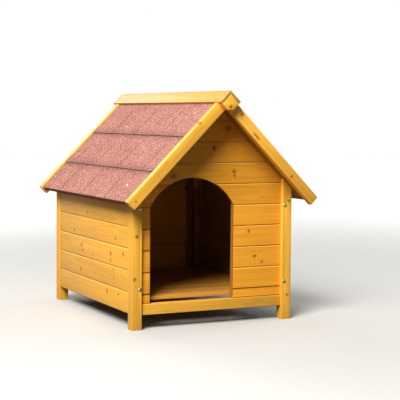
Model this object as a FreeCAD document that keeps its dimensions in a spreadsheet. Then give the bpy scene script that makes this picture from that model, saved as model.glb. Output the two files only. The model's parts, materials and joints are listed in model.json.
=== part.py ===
"""Small gabled dog house: boarded walls between four corner posts, an arched doorway set to
one side, a loose floor on bearers and a felted saddle roof that lifts off in one piece.

Millimetres. +Z is up and the doorway looks along -Y. The origin is on the ground under the
middle of the ridge boards. Places along y are written from the front face of the front
posts, and place() moves them to that origin.
"""
import FreeCAD, Part
import os
import re
import Sketcher

Vector = FreeCAD.Vector
doc = FreeCAD.newDocument("dog_house")

# ---------------------------------------------------------------- driving sizes
SIZES = [
    # frame
    ("post_side", 30, "section of the square corner posts"),
    ("frame_width", 500, "across the outer faces of the posts"),
    ("frame_depth", 620, "front face of the front posts to back face of the rear posts"),
    ("leg_height", 40, "ground to the underside of the rails"),
    ("rail_height", 30, "height of the front and rear rails"),
    ("rail_recess", 6, "rail face behind the post face"),
    ("arris_round", 2, "rounding of planed edges"),
    # tongued and grooved boards
    ("board_cover", 60, "covering height of one board"),
    ("board_thick", 11, "thickness of the boards"),
    ("groove_side", 2.5, "chamfer on each side of the V groove"),
    ("tongue_thick", 3.4, "thickness of the tongue"),
    ("tongue_reach", 4, "length of the tongue"),
    ("tongue_play", 0.3, "clearance round the tongue"),
    ("starter_height", 26, "ripped starter board on the front and rear rails"),
    # walls
    ("front_recess", 11, "front and rear boards behind the post faces"),
    ("side_recess", 2, "side boards behind the post faces"),
    ("side_bottom", 42, "ground to the lower edge of the side boards"),
    ("top_strip", 36, "bevelled top boards above the last full side row, at the post faces"),
    ("stile_width", 24, "width of the flat stiles behind the front and rear boards"),
    ("batten_thick", 21, "depth of the side wall battens into the cabin"),
    ("batten_width", 20, "width of the side wall battens"),
    # doorway
    ("door_width", 258, "width of the doorway"),
    ("jamb_strip", 28, "wall between the left post and the doorway"),
    ("door_rise", 79, "rise of the arch above its springing"),
    # floor
    ("floor_thick", 9, "thickness of the floor boards"),
    ("floor_level", 77, "ground to the underside of the floor boards"),
    ("floor_play", 2, "gap round the loose floor"),
    ("floor_seam", 0.6, "gap between floor boards"),
    ("bearer_side", 20, "section of the floor bearers"),
    ("ledge_width", 40, "width of the ledges under the floor boards"),
    ("ledge_thick", 12, "thickness of the ledges under the floor boards"),
    # frame bolts
    ("bolt_low", 112, "ground to the lower frame bolts"),
    ("bolt_high", 333, "ground to the upper frame bolts"),
    ("bolt_head", 10, "diameter of the bolt heads"),
    ("bolt_dome", 3, "height of the bolt heads"),
    ("bolt_shank", 5, "diameter of the bolt shanks"),
    ("bolt_play", 0.6, "clearance of the bolt holes and nuts on the diameter"),
    ("bolt_end", 2, "bolts standing out of the nuts"),
    ("nut_width", 8, "across the flats of the nuts"),
    ("nut_thick", 4, "thickness of the nuts"),
    # roof
    ("roof_pitch", 45, "slope of both roof sides"),
    ("roof_play", 0.3, "gap between the walls and the lift-off roof"),
    ("eave_overhang", 32, "posts to the lower ends of the bargeboards, measured level"),
    ("deck_thick", 10, "thickness of the roof boards"),
    ("deck_setback", 6, "roof boards short of the bargeboard ends"),
    ("front_overhang", 71, "front posts to the front face of the bargeboards"),
    ("rear_overhang", 41, "rear posts to the rear face of the bargeboards"),
    ("barge_width", 30, "width of the bargeboards"),
    ("barge_thick", 20, "thickness of the bargeboards"),
    ("barge_proud", 4.5, "bargeboards above the felt"),
    ("rafter_side", 20, "section of the rafters"),
    ("rafter_gap", 3, "rafters behind the wall stiles"),
    # felt
    ("felt_thick", 2.5, "thickness of the felt"),
    ("middle_course", 132, "felt showing in the middle course"),
    ("eave_course", 114, "lower edge of the middle course to the ends of the bargeboards"),
    ("course_lap", 28, "overlap of the courses"),
    ("felt_drop", 11, "felt turned down over the eave"),
    ("tab_pitch", 180, "spacing of the tab slots"),
    ("tab_start", 79, "front end of the felt to the first slot"),
    ("tab_slot", 3, "width of the tab slots"),
    ("tab_length", 95, "length of the tab slots"),
    # ridge
    ("cap_width", 44, "width of the ridge boards along the slope"),
    ("cap_thick", 8, "thickness of the ridge boards"),
    ("cap_play", 0.2, "ridge boards above the felt"),
    ("block_thick", 20, "thickness of the ridge blocks"),
    ("block_depth", 42, "height of the ridge blocks below the ridge boards"),
]

FRONT_ROWS = 10      # boards up the front and rear walls, the ripped starter included
SPRING_ROW = 4       # full boards between the starter and the springing of the arch
SIDE_ROWS = 6        # boards up each side wall
FLOOR_BOARDS = 8
DECK_BOARDS = 6
LEFT, RIGHT = -1, 1

sheet = doc.addObject("Spreadsheet::Sheet", "Sizes")
for row, (alias, size, meaning) in enumerate(SIZES, start=1):
    sheet.set(f"A{row}", alias)
    sheet.set(f"B{row}", str(size))
    sheet.set(f"C{row}", meaning)
    sheet.setAlias(f"B{row}", alias)
doc.recompute()

ALIAS = re.compile(r"\b(" + "|".join(name for name, _, _ in SIZES) + r")\b")


def bind(text):
    """Expression on the sheet, written with the bare names of the sizes."""
    return ALIAS.sub(r"Sizes.\1", text)


def value(text):
    return float(sheet.evalExpression(bind(text)))


# ---------------------------------------------------------------- sizes worked out from them
RAIL_TOP = "(leg_height + rail_height)"
FIRST_JOINT = f"({RAIL_TOP} + starter_height)"
SPRING = f"({FIRST_JOINT} + {SPRING_ROW} * board_cover)"
POST_INNER = "(frame_width / 2 - post_side)"
DOOR_LEFT = f"(jamb_strip - {POST_INNER})"
DOOR_MIDDLE = f"({DOOR_LEFT} + door_width / 2)"
DOOR_RIGHT = f"({DOOR_LEFT} + door_width)"
ARCH_RADIUS = "((door_width ^ 2 / 4 + door_rise ^ 2) / (2 * door_rise))"
SIDE_FACE = "(frame_width / 2 - side_recess)"
SIDE_INNER = f"({SIDE_FACE} - board_thick)"
BATTEN_INNER = f"({SIDE_INNER} - batten_thick)"
BOLT_X = f"({SIDE_INNER} - batten_thick / 2)"
BOLT_HOLE = "(bolt_shank + bolt_play)"
STILE_THICK = "(post_side - front_recess - board_thick)"
BATTEN_TOP = f"(side_bottom + {SIDE_ROWS - 1} * board_cover)"
EAVES = f"({BATTEN_TOP} + top_strip)"
WALL_APEX = f"({EAVES} + frame_width / 2 * tan(roof_pitch))"
MIDDLE_Y = "((frame_depth + rear_overhang - front_overhang) / 2)"
FRONT_END = "(-front_overhang)"
REAR_END = "(frame_depth + rear_overhang)"
DECK_START = f"({FRONT_END} + barge_thick)"
DECK_LENGTH = f"({REAR_END} - {FRONT_END} - 2 * barge_thick)"
ROOF_SLOPE = "((frame_width / 2 + eave_overhang) / cos(roof_pitch))"
DECK_REACH = f"({ROOF_SLOPE} - deck_setback)"
COURSE_TWO = f"({ROOF_SLOPE} - eave_course)"
COURSE_ONE = f"({COURSE_TWO} - middle_course)"
FELT_TOP = "(deck_thick + felt_thick)"
BARGE_TOP = f"({FELT_TOP} + barge_proud)"
CAP_UNDER = f"({FELT_TOP} + cap_play)"
CAP_TOP = f"({CAP_UNDER} + cap_thick)"
CAP_REACH = f"(cap_width - {CAP_TOP} * tan(roof_pitch))"
FLOOR_FRONT = "(post_side + floor_play)"
FLOOR_LENGTH = f"(frame_depth - 2 * {FLOOR_FRONT})"


# ---------------------------------------------------------------- building blocks
def body(name):
    part = doc.addObject("PartDesign::Body", name)
    part.Label = name
    return part


def sketch_on(part, plane, name="outline"):
    origin_plane = next(f for f in part.Origin.OriginFeatures if f.Role == plane)
    sketch = part.newObject("Sketcher::SketchObject", name)
    sketch.AttachmentSupport = [(origin_plane, "")]
    sketch.MapMode = "FlatFace"
    return sketch


def fix_point(sketch, edge, end, x, y, tag):
    """Bind one end of an edge to two expressions, measured from the sketch origin."""
    for kind, text in (("DistanceX", x), ("DistanceY", y)):
        number = sketch.addConstraint(Sketcher.Constraint(kind, -1, 1, edge, end, value(text)))
        label = f"{tag}_{kind[-1].lower()}"
        sketch.renameConstraint(number, label)
        sketch.setExpression(f"Constraints.{label}", bind(text))


def draw_loop(sketch, corners):
    """Closed loop of straight edges through the corners, each a pair of expressions."""
    first = sketch.GeometryCount
    count = len(corners)
    points = [Vector(value(x), value(y), 0) for x, y in corners]
    for i in range(count):
        sketch.addGeometry(Part.LineSegment(points[i], points[(i + 1) % count]), False)
    for i in range(count):
        sketch.addConstraint(Sketcher.Constraint("Coincident", first + i, 2, first + (i + 1) % count, 1))
        fix_point(sketch, first + i, 1, *corners[i], f"corner{first + i}")


def draw_circle(sketch, x, y, diameter):
    centre = Vector(value(x), value(y), 0)
    edge = sketch.addGeometry(Part.Circle(centre, Vector(0, 0, 1), value(diameter) / 2), False)
    number = sketch.addConstraint(Sketcher.Constraint("Diameter", edge, value(diameter)))
    sketch.renameConstraint(number, f"bore{edge}")
    sketch.setExpression(f"Constraints.bore{edge}", bind(diameter))
    fix_point(sketch, edge, 3, x, y, f"centre{edge}")


def pad(part, sketch, length, backwards=False):
    feature = part.newObject("PartDesign::Pad", "pad")
    feature.Profile = sketch
    feature.Reversed = backwards
    feature.setExpression("Length", bind(length))
    return feature


def pocket(part, sketch, depth, backwards=False):
    feature = part.newObject("PartDesign::Pocket", "pocket")
    feature.Profile = sketch
    feature.Reversed = backwards
    feature.setExpression("Length", bind(depth))
    return feature


def prism(name, plane, corners, length, backwards=False):
    """Body with one closed outline on an origin plane, padded square to it."""
    part = body(name)
    sketch = sketch_on(part, plane)
    draw_loop(sketch, corners)
    pad(part, sketch, length, backwards)
    return part


def box(name, x_size, y_size, z_size):
    corners = [("0", "0"), (x_size, "0"), (x_size, y_size), ("0", y_size)]
    return prism(name, "XY_Plane", corners, z_size)


def round_edges(part, wanted, radius="arris_round"):
    """Fillet the edges of the body that the test picks out."""
    doc.recompute()
    base = part.Tip
    names = [f"Edge{i}" for i, edge in enumerate(base.Shape.Edges, start=1) if wanted(edge)]
    fillet = part.newObject("PartDesign::Fillet", "rounding")
    fillet.Base = (base, names)
    fillet.setExpression("Radius", bind(radius))
    part.Tip = fillet


def along(axis, at_least=0.0):
    """Test for straight edges parallel to a local axis and longer than a length."""
    def wanted(edge):
        start, end = edge.firstVertex().Point, edge.lastVertex().Point
        run = end - start
        return run.Length > at_least and abs(abs(run.normalize().dot(axis)) - 1) < 1e-6
    return wanted


def passes(edge, corner):
    """Whether an edge runs along Y through a corner of the section."""
    middle = edge.CenterOfMass - corner
    return along(Vector(0, 1, 0))(edge) and abs(middle.x) < 1e-3 and abs(middle.z) < 1e-3


def place(thing, x="0", y="0", z="0", turn=None, axis=Vector(0, 0, 1)):
    """Seat a piece at three expressions, turned about an axis by a fourth. The y is measured
    from the front face of the front posts."""
    thing.Placement = FreeCAD.Placement(Vector(), FreeCAD.Rotation(axis, 1.0 if turn else 0.0))
    for coordinate, text in zip("xyz", (x, f"({y}) - {MIDDLE_Y}", z)):
        thing.setExpression(f"Placement.Base.{coordinate}", bind(text))
    if turn:
        thing.setExpression("Placement.Rotation.Angle", bind(turn))
    return thing


def cut(name, base, tool):
    result = doc.addObject("Part::Cut", "trimmed")
    result.Base = base
    result.Tool = tool
    base.Label = f"{name} blank"
    result.Label = name
    return result


def group(name, pieces):
    result = doc.addObject("Part::Compound", "group")
    for number, piece in enumerate(pieces, start=1):
        piece.Label = f"{name} piece {number}"
    result.Links = pieces
    result.Label = name
    return result


# ---------------------------------------------------------------- cutters shared by several pieces
def doorway_cutter():
    """Doorway with a segmental arch, standing on the front rail."""
    part = body("doorway")
    sketch = sketch_on(part, "XZ_Plane")
    sill = f"({RAIL_TOP} - board_cover)"
    corners = [(DOOR_RIGHT, SPRING), (DOOR_RIGHT, sill), (DOOR_LEFT, sill), (DOOR_LEFT, SPRING)]
    points = [Vector(value(x), value(y), 0) for x, y in corners]
    for i in range(3):
        sketch.addGeometry(Part.LineSegment(points[i], points[i + 1]), False)
    crown = Vector(value(DOOR_MIDDLE), value(f"{SPRING} + door_rise"), 0)
    sketch.addGeometry(Part.Arc(points[3], crown, points[0]), False)
    arc = 3
    for i in range(2):
        sketch.addConstraint(Sketcher.Constraint("Coincident", i, 2, i + 1, 1))
    # the arc runs counter-clockwise, from the right springing to the left one
    sketch.addConstraint(Sketcher.Constraint("Coincident", arc, 1, 0, 1))
    sketch.addConstraint(Sketcher.Constraint("Coincident", arc, 2, 2, 2))
    for i in range(3):
        fix_point(sketch, i, 1, *corners[i], f"corner{i}")
    fix_point(sketch, 2, 2, *corners[3], "corner3")
    number = sketch.addConstraint(Sketcher.Constraint("Radius", arc, value(ARCH_RADIUS)))
    sketch.renameConstraint(number, "arch")
    sketch.setExpression("Constraints.arch", bind(ARCH_RADIUS))
    pad(part, sketch, "2 * post_side", backwards=True)
    return place(part)


def roof_cutter():
    """Everything above the gable slopes, less the play under the lift-off roof."""
    apex = f"({WALL_APEX} - roof_play / cos(roof_pitch))"
    foot = f"({apex} - frame_width * tan(roof_pitch))"
    top = f"({WALL_APEX} + frame_width)"
    corners = [("0", apex), ("frame_width", foot), ("frame_width", top),
               ("-frame_width", top), ("-frame_width", foot)]
    part = prism("over_roof", "XZ_Plane", corners, "frame_depth + 2 * post_side", backwards=True)
    return place(part, y="-post_side")


doorway = doorway_cutter()
over_roof = roof_cutter()


# ---------------------------------------------------------------- frame
def post(name, side, y):
    """Corner post: rounded square section, bored for two bolts, its top cut to the roof."""
    blank = box(name, "post_side", "post_side", f"{EAVES} + post_side * tan(roof_pitch)")
    round_edges(blank, along(Vector(0, 0, 1)))
    holes = sketch_on(blank, "XZ_Plane", "bolt_holes")
    across = f"(frame_width / 2 - {BOLT_X})"
    if side == RIGHT:
        across = f"(post_side - {across})"
    for height in ("bolt_low", "bolt_high"):
        draw_circle(holes, across, height, BOLT_HOLE)
    pocket(blank, holes, "post_side")
    place(blank, x="-frame_width / 2" if side == LEFT else POST_INNER, y=y)
    return cut(name, blank, over_roof)


def rail(name, y):
    """Rail between two posts, carrying the wall boards and stiles."""
    depth = "(post_side - rail_recess)"
    part = box(name, f"2 * {POST_INNER}", depth, "rail_height")
    round_edges(part, along(Vector(1, 0, 0)))
    return place(part, x=f"-{POST_INNER}", y=y, z="leg_height")


def frame():
    rear = "(frame_depth - post_side)"
    return [
        post("post_front_left", LEFT, "0"),
        post("post_front_right", RIGHT, "0"),
        post("post_rear_left", LEFT, rear),
        post("post_rear_right", RIGHT, rear),
        rail("front_rail", "rail_recess"),
        rail("rear_rail", rear),
    ]


# ---------------------------------------------------------------- boards
def board(name, length, height="board_cover", grooved=True, tongued=True):
    """Tongued and grooved board: outer face on y = 0, lower edge on z = 0, running along +X."""
    middle = "board_thick / 2"
    reach = f"({height})"
    outer = [("0", f"{reach} - groove_side"), ("0", "groove_side")]
    lower = [("groove_side", "0")]
    if grooved:
        half = "(tongue_thick / 2 + tongue_play)"
        depth = "tongue_reach + tongue_play"
        lower += [(f"{middle} - {half}", "0"), (f"{middle} - {half}", depth),
                  (f"{middle} + {half}", depth), (f"{middle} + {half}", "0")]
    upper = []
    if tongued:
        half = "tongue_thick / 2"
        tip = f"{reach} + tongue_reach"
        upper = [(f"{middle} + {half}", reach), (f"{middle} + {half}", tip),
                 (f"{middle} - {half}", tip), (f"{middle} - {half}", reach)]
    back = [("board_thick", "0"), ("board_thick", reach)]
    corners = outer + lower + back + upper + [("groove_side", reach)]
    return prism(name, "YZ_Plane", corners, length)


def row_level(row):
    """Lower edge of a front or rear row: the starter stands on the rail."""
    if row == 0:
        return RAIL_TOP
    return f"({FIRST_JOINT} + {row - 1} * board_cover)"


def wall_row(name, row, start, end, face, turned=False):
    """One board of the front or rear wall between two x positions."""
    last = row == FRONT_ROWS - 1
    height = "board_cover" if row else "starter_height"
    if last:
        height = f"{WALL_APEX} + 2 * groove_side - {row_level(row)}"
    part = board(name, f"{end} - ({start})", height, grooved=row > 0, tongued=not last)
    if turned:
        return place(part, x=end, y=face, z=row_level(row), turn="180")
    return place(part, x=start, y=face, z=row_level(row))


def front_boards():
    """Short boards each side of the doorway, two that meet over its shoulders, and the gable."""
    left_end, right_end = f"(-{POST_INNER})", POST_INNER
    face = "front_recess"
    straight = range(SPRING_ROW + 1)
    nodes = [
        group("door_boards_left",
              [wall_row("left", row, left_end, DOOR_LEFT, face) for row in straight]),
        group("door_boards_right",
              [wall_row("right", row, DOOR_RIGHT, right_end, face) for row in straight]),
    ]
    shoulder = SPRING_ROW + 1
    for name, start, end in (("arch_board_left", left_end, DOOR_MIDDLE),
                             ("arch_board_right", DOOR_MIDDLE, right_end)):
        nodes.append(cut(name, wall_row(name, shoulder, start, end, face), doorway))
    for row in range(shoulder + 1, FRONT_ROWS):
        name = f"front_gable_board_{row - shoulder}"
        blank = wall_row(name, row, left_end, right_end, face)
        if row == shoulder + 1:
            blank = cut(f"{name} arched", blank, doorway)
        nodes.append(cut(name, blank, over_roof))
    return nodes


def rear_boards():
    """The rear wall repeats the rows of the front without the doorway."""
    nodes = []
    for row in range(FRONT_ROWS):
        name = f"rear_wall_board_{row + 1}"
        blank = wall_row(name, row, f"(-{POST_INNER})", POST_INNER, "frame_depth - front_recess", turned=True)
        nodes.append(cut(name, blank, over_roof) if row > SPRING_ROW + 1 else blank)
    return nodes


def side_boards(word, side):
    """Side wall between the posts; its top board is bevelled under the roof."""
    nodes = []
    for row in range(SIDE_ROWS):
        name = f"{word}_wall_board_{row + 1}"
        last = row == SIDE_ROWS - 1
        level = f"(side_bottom + {row} * board_cover)"
        height = "board_cover"
        if last:
            # high enough for the bevel, which rises from the outer to the inner face
            height = f"{EAVES} + (side_recess + 2 * board_thick) * tan(roof_pitch) - {level}"
        part = board(name, "frame_depth - 2 * post_side", height, grooved=row > 0, tongued=not last)
        if side == LEFT:
            place(part, x=f"-{SIDE_FACE}", y="frame_depth - post_side", z=level, turn="-90")
        else:
            place(part, x=SIDE_FACE, y="post_side", z=level, turn="90")
        nodes.append(cut(name, part, over_roof) if last else part)
    return nodes


# ---------------------------------------------------------------- battens, stiles, bearers, bolts
def side_batten(side, front):
    """Upright batten at the end of a side wall, bored for the frame bolts."""
    part = box("batten", "batten_thick", "batten_width", f"{BATTEN_TOP} - side_bottom")
    holes = sketch_on(part, "XZ_Plane", "bolt_holes")
    for height in ("bolt_low", "bolt_high"):
        draw_circle(holes, "batten_thick / 2", f"{height} - side_bottom", BOLT_HOLE)
    pocket(part, holes, "batten_width")
    if front:
        x = f"-{SIDE_INNER}" if side == LEFT else BATTEN_INNER
        return place(part, x=x, y="post_side", z="side_bottom")
    x = f"-{BATTEN_INNER}" if side == LEFT else SIDE_INNER
    return place(part, x=x, y="frame_depth - post_side", z="side_bottom", turn="180")


def stile(x, y, width="stile_width"):
    """Flat upright behind the boards, from the rail to the roof slope."""
    part = box("stile", width, STILE_THICK, f"{WALL_APEX} - {RAIL_TOP}")
    return cut("stile", place(part, x=x, y=y, z=RAIL_TOP), over_roof)


def stiles():
    front = f"post_side - {STILE_THICK}"
    rear = "frame_depth - post_side"
    end_left, end_right = f"-{POST_INNER}", f"{POST_INNER} - stile_width"
    return [
        # the left end stile runs up to the doorway, so it is as wide as that strip of wall
        group("front_wall_stiles", [stile(end_left, front, "jamb_strip"), stile(DOOR_RIGHT, front),
                                    stile(end_right, front)]),
        group("rear_wall_stiles", [stile(end_left, rear), stile("-stile_width / 2", rear),
                                   stile(end_right, rear)]),
    ]


def bearers():
    """Two bearers on the side walls, between the battens, that carry the floor."""
    pieces = []
    for side in (LEFT, RIGHT):
        part = box("bearer", "bearer_side", "frame_depth - 2 * (post_side + batten_width)", "bearer_side")
        x = f"-{SIDE_INNER}" if side == LEFT else f"{SIDE_INNER} - bearer_side"
        pieces.append(place(part, x=x, y="post_side + batten_width", z="floor_level - bearer_side"))
    return group("floor_bearers", pieces)


def bolt():
    """Pan head bolt along +Y with a cross recess: the head stands in front of y = 0."""
    part = body("bolt")
    profile = sketch_on(part, "XY_Plane")
    end = "post_side + batten_width + nut_thick + bolt_end"
    draw_loop(profile, [("0", "-bolt_dome"), ("bolt_head * 0.3", "-bolt_dome"), ("bolt_head / 2", "-bolt_dome / 3"),
                        ("bolt_head / 2", "0"), ("bolt_shank / 2", "0"), ("bolt_shank / 2", end), ("0", end)])
    turned = part.newObject("PartDesign::Revolution", "turned")
    turned.Profile = profile
    turned.ReferenceAxis = (profile, ["V_Axis"])
    turned.Angle = 360
    recess = sketch_on(part, "XZ_Plane", "recess")
    arm, half = "bolt_head * 0.22", "bolt_head * 0.05"
    corners = []
    for across, up in (("", ""), ("-", ""), ("-", "-"), ("", "-")):
        corner = [(f"{across}{arm}", f"{up}{half}"), (f"{across}{half}", f"{up}{half}"),
                  (f"{across}{half}", f"{up}{arm}")]
        corners += corner if across == up else corner[::-1]
    draw_loop(recess, corners)
    recess.AttachmentOffset = FreeCAD.Placement(Vector(), FreeCAD.Rotation())
    recess.setExpression("AttachmentOffset.Base.z", bind("bolt_dome"))
    pocket(part, recess, "bolt_dome / 2")
    return part


def nut():
    """Hexagon nut with its bore along +Y from y = 0."""
    part = body("nut")
    sketch = sketch_on(part, "XZ_Plane")
    draw_loop(sketch, [(f"nut_width / 2 / cos(30) * cos({60 * i})", f"nut_width / 2 / cos(30) * sin({60 * i})")
                       for i in range(6)])
    draw_circle(sketch, "0", "0", BOLT_HOLE)
    pad(part, sketch, "nut_thick", backwards=True)
    return part


def frame_bolts():
    """Two bolts through each post and the batten behind it, each with a nut in the cabin."""
    seat = "(post_side + batten_width)"
    pieces = []
    for x in (f"-{BOLT_X}", BOLT_X):
        for height in ("bolt_low", "bolt_high"):
            pieces.append(place(bolt(), x=x, y="0", z=height))
            pieces.append(place(nut(), x=x, y=seat, z=height))
            pieces.append(place(bolt(), x=x, y="frame_depth", z=height, turn="180"))
            pieces.append(place(nut(), x=x, y=f"frame_depth - {seat}", z=height, turn="180"))
    return group("frame_bolts", pieces)


# ---------------------------------------------------------------- floor
def floor():
    """Loose floor: boards across the cabin on two ledges, notched round the corner battens and
    the nuts on them."""
    pitch = f"({FLOOR_LENGTH} / {FLOOR_BOARDS})"
    wide = f"({SIDE_INNER} - floor_play)"
    narrow = f"({BATTEN_INNER} - floor_play)"
    notch = "(batten_width + nut_thick + bolt_end + floor_play)"
    depth = f"({pitch} - floor_seam)"
    pieces = []
    for number in range(FLOOR_BOARDS):
        corners = [(f"-{wide}", "0"), (wide, "0"), (wide, depth), (f"-{wide}", depth)]
        if number == 0:
            corners = [(f"-{narrow}", "0"), (narrow, "0"), (narrow, notch), (wide, notch),
                       (wide, depth), (f"-{wide}", depth), (f"-{wide}", notch), (f"-{narrow}", notch)]
        if number == FLOOR_BOARDS - 1:
            step = f"({depth} - {notch})"
            corners = [(f"-{wide}", "0"), (wide, "0"), (wide, step), (narrow, step),
                       (narrow, depth), (f"-{narrow}", depth), (f"-{narrow}", step), (f"-{wide}", step)]
        part = prism("floor_board", "XY_Plane", corners, "floor_thick")
        offset = f"{number} * {pitch} + floor_seam / 2"
        pieces.append(place(part, y=f"{FLOOR_FRONT} + {offset}", z="floor_level"))
    ledges = []
    for side in ("-frame_width / 4 - ledge_width / 2", "frame_width / 4 - ledge_width / 2"):
        part = box("ledge", "ledge_width", f"{FLOOR_LENGTH} - 2 * ledge_width", "ledge_thick")
        ledges.append(place(part, x=side, y=f"{FLOOR_FRONT} + ledge_width", z="floor_level - ledge_thick"))
    return [group("floor_boards", pieces), group("floor_ledges", ledges)]


# ---------------------------------------------------------------- roof
def slope(name, side, corners, length, start):
    """Prism along +Y on one roof side. Corners are (down the slope, square to it) measured from
    the line where the two deck undersides meet."""
    sign = "-1 * " if side == LEFT else ""
    part = prism(name, "XZ_Plane", [(f"{sign}({u})", v) for u, v in corners], length, backwards=True)
    return seat_on_slope(part, side, start)


def seat_on_slope(part, side, start):
    turn = "-roof_pitch" if side == LEFT else "roof_pitch"
    return place(part, y=start, z=WALL_APEX, turn=turn, axis=Vector(0, 1, 0))


def at_ridge(height):
    """Distance down the slope of the ridge plane at a height above the deck underside."""
    return f"-({height}) * tan(roof_pitch)"


def deck(word, side):
    """Roof boards along the ridge, mitred at the top."""
    width = f"({DECK_REACH} / {DECK_BOARDS})"
    pieces = []
    for number in range(DECK_BOARDS):
        top, bottom = f"{number} * {width}", f"{number + 1} * {width}"
        upper_edge = [(at_ridge("deck_thick"), "deck_thick"), ("0", "0")]
        if number:
            upper_edge = [(top, "deck_thick"), (top, "groove_side"), (f"{top} + groove_side", "0")]
        lower_edge = [(bottom, "0"), (bottom, "deck_thick")]
        if number < DECK_BOARDS - 1:
            lower_edge = [(f"{bottom} - groove_side", "0"), (bottom, "groove_side"), (bottom, "deck_thick")]
        pieces.append(slope("deck_board", side, upper_edge + lower_edge, DECK_LENGTH, DECK_START))
    return group(f"roof_boards_{word}", pieces)


def felt_course(name, side, top, bottom, laps_next):
    """One course of felt; where it laps the next one it steps up by the felt's thickness."""
    low, high = "deck_thick", FELT_TOP
    if laps_next:
        step = f"({bottom} - course_lap)"
        before = f"({step} - felt_thick)"
        under = [(before, low), (step, high), (bottom, high)]
        over = [(bottom, f"{high} + felt_thick"), (step, f"{high} + felt_thick"), (before, high)]
    else:
        edge = f"({bottom} + felt_thick)"
        hem = "(deck_thick - felt_drop)"
        under = [(bottom, low), (bottom, hem)]
        over = [(edge, hem), (edge, high)]
    start = [(at_ridge(high), high), (at_ridge(low), low)] if top is None else [(top, high), (top, low)]
    part = slope(name, side, start + under + over, DECK_LENGTH, DECK_START)
    if not laps_next:
        # the felt is bent round the eave, so its outer corner is soft
        corner = Vector(side * value(edge), 0, value(high))
        round_edges(part, lambda sharp: passes(sharp, corner), "felt_thick * 0.8")
    return part


def tab_slots(part, side, bottom, start):
    """Slots that part the course into tabs, repeated along the roof."""
    doc.recompute()
    whole = part.Shape.Volume
    sketch = sketch_on(part, "XY_Plane", "slot")
    sign = "-1 * " if side == LEFT else ""
    near, far = f"{start}", f"{start} + tab_slot"
    inner, outer = f"{sign}({bottom} - tab_length)", f"{sign}({bottom} + 2 * felt_thick)"
    draw_loop(sketch, [(inner, near), (outer, near), (outer, far), (inner, far)])
    slot = pocket(part, sketch, "deck_thick + 4 * felt_thick", backwards=True)
    pattern = part.newObject("PartDesign::LinearPattern", "slots")
    pattern.Originals = [slot]
    pattern.Direction = (sketch, ["V_Axis"])
    pattern.setExpression("Occurrences", bind(f"floor(({DECK_LENGTH} - ({start})) / tab_pitch) + 1"))
    pattern.setExpression("Length", bind(f"tab_pitch * floor(({DECK_LENGTH} - ({start})) / tab_pitch)"))
    part.Tip = pattern
    doc.recompute()
    assert part.Shape.Volume < whole, part.Label


def felt(word, side):
    """Three courses, slotted into tabs below the ridge boards."""
    courses = [
        ("top", None, COURSE_ONE, True, "tab_start + tab_pitch / 2"),
        ("middle", f"({COURSE_ONE} - course_lap)", COURSE_TWO, True, "tab_start"),
        ("eave", f"({COURSE_TWO} - course_lap)", DECK_REACH, False, "tab_start + tab_pitch / 2"),
    ]
    nodes = []
    for place_name, top, bottom, laps_next, first_slot in courses:
        part = felt_course(f"felt_{place_name}_{word}", side, top, bottom, laps_next)
        tab_slots(part, side, bottom, first_slot)
        nodes.append(part)
    return nodes


def bargeboard(name, side, start):
    """Bargeboard, mitred at the ridge and housed for the ridge board."""
    low = f"({BARGE_TOP} - barge_width)"
    housing = f"({CAP_REACH} + cap_play)"
    corners = [(at_ridge(low), low), (ROOF_SLOPE, low), (ROOF_SLOPE, BARGE_TOP), (housing, BARGE_TOP),
               (housing, FELT_TOP), (at_ridge(FELT_TOP), FELT_TOP)]
    part = slope(name, side, corners, "barge_thick", start)
    long_edges = along(Vector(1, 0, 0), at_least=value(ROOF_SLOPE) / 2)
    round_edges(part, long_edges)
    return part


def ridge_board(name, side):
    """One board of the ridge capping, mitred to the other along the ridge."""
    corners = [(at_ridge(CAP_UNDER), CAP_UNDER), (CAP_REACH, CAP_UNDER), (CAP_REACH, CAP_TOP),
               (at_ridge(CAP_TOP), CAP_TOP)]
    length = f"{REAR_END} - {FRONT_END} + 2 * block_thick"
    return slope(name, side, corners, length, f"{FRONT_END} - block_thick")


def ridge_block(name, start):
    """Five-sided block under the ridge boards, over the mitre of the bargeboards."""
    peak = f"({WALL_APEX} + {CAP_UNDER} / cos(roof_pitch))"
    half = f"({CAP_REACH} * cos(roof_pitch) + {CAP_UNDER} * sin(roof_pitch))"
    shoulder = f"({WALL_APEX} + {CAP_UNDER} * cos(roof_pitch) - {CAP_REACH} * sin(roof_pitch))"
    base = f"({peak} - block_depth)"
    foot = f"({half} - ({shoulder} - {base}) * tan(roof_pitch))"
    corners = [("0", peak), (f"-{half}", shoulder), (f"-{foot}", base), (foot, base), (half, shoulder)]
    return place(prism(name, "XZ_Plane", corners, "block_thick", backwards=True), y=start)


def rafter(side, start):
    """Batten down the slope under the roof boards, just inside a gable wall."""
    low = "(-rafter_side)"
    end = f"(({SIDE_INNER} - rafter_gap) / cos(roof_pitch) - rafter_side * tan(roof_pitch))"
    corners = [(at_ridge(low), low), (end, low), (end, "0"), ("0", "0")]
    return slope("rafter", side, corners, "rafter_side", start)


def roof():
    nodes = []
    for word, side in (("left", LEFT), ("right", RIGHT)):
        nodes.append(deck(word, side))
        nodes += felt(word, side)
        nodes.append(bargeboard(f"bargeboard_front_{word}", side, FRONT_END))
        nodes.append(bargeboard(f"bargeboard_rear_{word}", side, f"{REAR_END} - barge_thick"))
        nodes.append(ridge_board(f"ridge_board_{word}", side))
    nodes.append(ridge_block("ridge_block_front", f"{FRONT_END} - block_thick"))
    nodes.append(ridge_block("ridge_block_rear", REAR_END))
    front, rear = "post_side + rafter_gap", "frame_depth - post_side - rafter_gap - rafter_side"
    nodes.append(group("roof_rafters", [rafter(side, y) for side in (LEFT, RIGHT) for y in (front, rear)]))
    return nodes


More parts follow.
